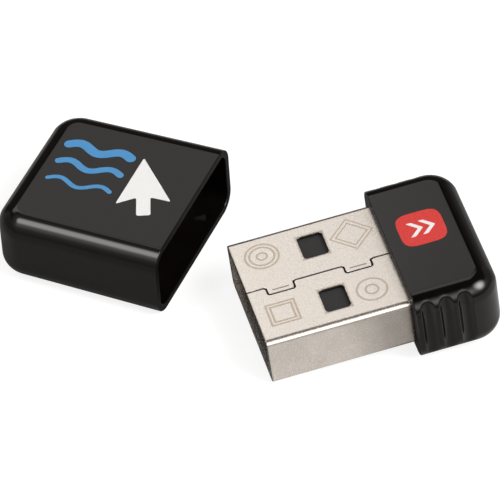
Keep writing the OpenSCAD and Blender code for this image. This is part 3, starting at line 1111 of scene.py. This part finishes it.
def head_print(name, outlines, ink, height):
    """Print on the head's top, at a height above the plug's axis."""
    make_object(name, print_shape(outlines, height), DONGLE, ink, "dongle")


waves = [wave_outline(*WAVE_X, WAVE_Y - WAVE_PITCH * i, WAVE_SWING, WAVE_COUNT, width)
         for i, width in enumerate(WAVE_WIDTHS)]
cap_print("cap_print_waves", waves, blue_ink)
cap_print("cap_print_pointer", [pointer_outline(*POINTER_TIP, POINTER_SIZE)], white_ink)

head_print("head_badge", [squircle(*BADGE_MIDDLE, BADGE_HALF)], red_ink, BODY_H / 2)
chevrons = [chevron(x, BADGE_MIDDLE[1], CHEVRON_REACH, CHEVRON_WIDTH) for x in CHEVRON_X]
head_print("head_badge_mark", chevrons, white_ink, BODY_H / 2 + INK_T)


def dress(look, *node_names):
    """Gives one material to solids that the scene doesn't draw again."""
    for node_name in node_names:
        materials = frame["nodes"][node_name].data.materials
        materials.clear()
        materials.append(look)


dress(plain_paint("insulator", (0.016, 0.0155, 0.016), (0.024, 0.0235, 0.024), 0.06, 0.5), "plug_insulator")
dress(plain_paint("contact_gold", (0.75, 0.53, 0.22), (0.85, 0.62, 0.28), 0.1, 0.25, 1.0),
      "contact_vbus", "contact_data_minus", "contact_data_plus", "contact_ground")
dress(plain_paint("board_green", (0.012, 0.09, 0.035), (0.02, 0.13, 0.05), 0.3, 0.35), "circuit_board")
dress(plain_paint("chip_epoxy", (0.015, 0.015, 0.015), (0.026, 0.026, 0.026), 0.05, 0.6),
      "controller_chip", "voltage_regulator", "esd_diode_array")
dress(plain_paint("crystal_lid", (0.55, 0.55, 0.54), (0.68, 0.67, 0.66), 0.08, 0.3, 1.0), "crystal")
dress(plain_paint("ceramic_tan", (0.36, 0.22, 0.11), (0.5, 0.32, 0.17), 0.05, 0.5),
      "crystal_load_capacitors", "bulk_capacitor", "decoupling_capacitors")
dress(plain_paint("resistor_black", (0.015, 0.015, 0.015), (0.03, 0.03, 0.03), 0.05, 0.35),
      "series_resistors", "pullup_resistor")
dress(plain_paint("ferrite_grey", (0.06, 0.06, 0.06), (0.1, 0.1, 0.1), 0.05, 0.7), "ferrite_bead")
dress(plain_paint("solder", (0.55, 0.55, 0.53), (0.7, 0.7, 0.68), 0.1, 0.25, 1.0),
      "contact_solder_joints", "shell_solder_joints")


# ------------------------------------------------------------
# Light, floor and camera
# ------------------------------------------------------------

def sky_direction(azimuth, elevation):
    """Unit vector towards a part of the studio. Azimuth 0 is the camera's side, -Y, and 90 is +X."""
    a = math.radians(azimuth)
    e = math.radians(elevation)
    return Vector((math.sin(a) * math.cos(e), -math.cos(a) * math.cos(e), math.sin(e)))


def sin_of(degrees):
    """Sine of an angle."""
    return math.sin(math.radians(degrees))


def cos_of(degrees):
    """Cosine of an angle."""
    return math.cos(math.radians(degrees))


class Sky(Wires):
    """The studio as the world sees it: soft lamps, cards and dim walls in a dark room, in degrees."""

    def __init__(self):
        world = bpy.data.worlds.new("studio")
        bpy.context.scene.world = world
        world.use_nodes = True
        super().__init__(world.node_tree)
        self.tree.nodes.clear()
        self.direction = self.node("ShaderNodeTexCoord").outputs["Generated"]
        self.total = None

    def along(self, direction):
        """Share of the viewed direction that lies along a direction."""
        made = self.node("ShaderNodeVectorMath", operation="DOT_PRODUCT")
        self.feed(self.direction, made.inputs[0])
        self.feed(direction, made.inputs[1])
        return made.outputs["Value"]

    def ramp(self, value, zero, one):
        """0 at zero, 1 at one, smooth in between."""
        made = self.node("ShaderNodeMapRange", interpolation_type="SMOOTHSTEP")
        for v, socket in zip((value, zero, one), made.inputs):
            self.feed(v, socket)
        return made.outputs[0]

    def add(self, value):
        """Adds a light to what is there."""
        self.total = value if self.total is None else self.plus(self.total, value)

    def lamp(self, middle, towards, reach, breadth, soft, strength):
        """Soft oval lamp. Its long axis points at towards, and reach and breadth are half angles."""
        centre = sky_direction(*middle)
        short = centre.cross(sky_direction(*towards)).normalized()
        long = short.cross(centre)
        x = self.maths("DIVIDE", self.along(long), sin_of(reach))
        y = self.maths("DIVIDE", self.along(short), sin_of(breadth))
        oval = self.ramp(self.distance(x, y), 1 + soft, 1 - soft)
        front = self.maths("GREATER_THAN", self.along(centre), 0.0)
        self.add(self.times(oval, front, strength))

    def card(self, azimuth, low, high, half_width, soft, side_soft, strength):
        """Upright card that faces the object, its edges given at a distance of 1 from the object."""
        ahead = self.largest(self.along(sky_direction(azimuth, 0)), 0.001)
        height = self.maths("DIVIDE", self.along((0, 0, 1)), ahead)
        side = self.size(self.maths("DIVIDE", self.along(sky_direction(azimuth + 90, 0)), ahead))
        lower = self.ramp(height, low - soft, low + soft)
        upper = self.ramp(height, high + side_soft, high - side_soft)
        wide = self.ramp(side, half_width + side_soft, half_width)
        self.add(self.times(lower, upper, wide, strength))

    def ring(self, high, soft, azimuth, half_width, side_soft, strength):
        """Dim walls of the room up to an elevation, over an arc of azimuths."""
        height = self.along((0, 0, 1))
        lit = self.ramp(height, sin_of(high + soft), sin_of(high - soft))
        level = self.maths("SQRT", self.minus(1.0, self.times(height, height)))
        facing = self.maths("DIVIDE", self.along(sky_direction(azimuth, 0)), self.largest(level, 0.01))
        wide = self.ramp(facing, cos_of(half_width + side_soft), cos_of(half_width))
        self.add(self.times(lit, wide, strength))

    def finish(self, room, tint):
        """Adds the dim room, and shows plain white to the camera and through glass."""
        path = self.node("ShaderNodeLightPath")
        seen = self.largest(path.outputs["Is Camera Ray"], path.outputs["Is Transmission Ray"])
        self.add(room)
        dimmed = self.times(self.total, self.minus(1.0, seen))
        background = self.node("ShaderNodeBackground")
        self.feed(self.plus(seen, dimmed), background.inputs["Strength"])
        colour = self.node("ShaderNodeMix", data_type="RGBA")
        self.feed(seen, colour.inputs[0])
        self.feed(rgba(tint), colour.inputs[6])
        self.feed(rgba((1.0, 1.0, 1.0)), colour.inputs[7])
        self.feed(colour.outputs[2], background.inputs["Color"])
        output = self.node("ShaderNodeOutputWorld")
        self.feed(background.outputs[0], output.inputs["Surface"])


LIGHT_TINT = (1.0, 0.975, 0.95)
ROOM = 0.02

sky = Sky()
# Cards behind the object
sky.card(azimuth=181, low=0.83, high=1.06, half_width=0.32, soft=0.008, side_soft=0.02, strength=0.87)
sky.card(azimuth=191, low=0.83, high=1.12, half_width=0.24, soft=0.02, side_soft=0.1, strength=0.8)
sky.card(azimuth=170.5, low=1.14, high=2.75, half_width=0.13, soft=0.09, side_soft=0.12, strength=1.1)
# Lamps on the left
sky.lamp(middle=(-97, 63), towards=(-72, 46), reach=13, breadth=7, soft=0.6, strength=6.6)
sky.lamp(middle=(-74, 48), towards=(-64, 36), reach=11, breadth=8, soft=0.9, strength=1.2)
sky.lamp(middle=(-95, 56), towards=(-64, 30), reach=34, breadth=16, soft=0.7, strength=0.55)
# Lamps on the right and in front
sky.lamp(middle=(53, 46), towards=(53, 60), reach=16, breadth=13.5, soft=0.8, strength=13.5)
sky.lamp(middle=(28, 41), towards=(0, 38), reach=32, breadth=17, soft=0.8, strength=1.8)
sky.lamp(middle=(6, 37), towards=(6, 50), reach=12, breadth=9, soft=0.9, strength=1.1)
# Walls in front and behind
sky.ring(high=38, soft=6, azimuth=-5, half_width=135, side_soft=15, strength=0.22)
sky.ring(high=36, soft=3, azimuth=180, half_width=45, side_soft=10, strength=0.05)
sky.finish(ROOM, LIGHT_TINT)

# The floor's glow to the camera, and in gloss, where it is a pool by the plug on the camera's side.
# The pool fades in and out over these pairs of x and y, in millimetres, with a dip by the flutes
FLOOR_WHITE = 0.82
FLOOR_GLOSS = 0.28
POOL_X = (-9.0, -2.0)
POOL_Y = (-6.5, -8.0)
DIP_FROM_X = (6.5, 9.5)
DIP_TO_X = (16.5, 14.5)
DIP_DEPTH = 0.7
FLOOR_GREY = ((0.255, 0.255, 0.255), (0.275, 0.275, 0.275))
FLOOR_HALF = 1500
FLOOR_DROP = 0.02


def floor_material():
    """Pale floor: a mid grey that the camera sees as white, with the object's shadow kept."""
    p = Paint("floor")
    path = p.node("ShaderNodeLightPath")
    seen = p.largest(path.outputs["Is Camera Ray"], path.outputs["Is Transmission Ray"])
    x, y, _ = p.parts(p.place())
    dip = p.times(p.spread(x, *DIP_FROM_X, 0.0, DIP_DEPTH), p.spread(x, *DIP_TO_X))
    pool = p.times(p.spread(x, *POOL_X, 0.0, FLOOR_GLOSS), p.spread(y, *POOL_Y), p.minus(1.0, dip))
    glow = p.plus(p.times(seen, FLOOR_WHITE), p.times(path.outputs["Is Glossy Ray"], pool))
    p.shader.inputs["Specular IOR Level"].default_value = 0.0
    p.shader.inputs["Emission Color"].default_value = (1, 1, 1, 1)
    p.feed(glow, p.shader.inputs["Emission Strength"])
    colour = p.mix(p.spread(p.noise(0.6, 2.0), 0.3, 0.7), *FLOOR_GREY)
    return p.finish(colour, 0.9)


def make_floor():
    """Wide floor just under the object."""
    mesh = bpy.data.meshes.new("floor")
    half = FLOOR_HALF * MM
    corners = [(-half, -half, 0), (half, -half, 0), (half, half, 0), (-half, half, 0)]
    mesh.from_pydata(corners, [], [(0, 1, 2, 3)])
    mesh.materials.append(floor_material())
    floor = bpy.data.objects.new("floor", mesh)
    bpy.context.scene.collection.objects.link(floor)
    floor.location.z = -FLOOR_DROP * MM


make_floor()

# Camera, solved from the outlines of plug, head and cap in the photograph
CAMERA_SPOT = (-66.557, -293.974, 285.940)
CAMERA_AZIMUTH = -12.966
CAMERA_ELEVATION = 43.335
CAMERA_ROLL = -3.409
CAMERA_LENS = 374.2
CAMERA_SENSOR = 36.0
CAMERA_NEAREST = 10


def make_camera():
    """Camera at its spot, turned to its azimuth, elevation and roll."""
    data = bpy.data.cameras.new("camera")
    data.sensor_width = CAMERA_SENSOR
    data.lens = CAMERA_LENS
    data.clip_start = CAMERA_NEAREST * MM
    camera = bpy.data.objects.new("camera", data)
    bpy.context.scene.collection.objects.link(camera)
    turn = Matrix.Rotation(math.radians(CAMERA_AZIMUTH), 4, "Z")
    tilt = Matrix.Rotation(math.radians(90 - CAMERA_ELEVATION), 4, "X")
    roll = Matrix.Rotation(math.radians(CAMERA_ROLL), 4, "Z")
    camera.matrix_world = Matrix.Translation(Vector(CAMERA_SPOT) * MM) @ turn @ tilt @ roll
    bpy.context.scene.camera = camera


make_camera()
bpy.context.scene.view_settings.view_transform = "Standard"
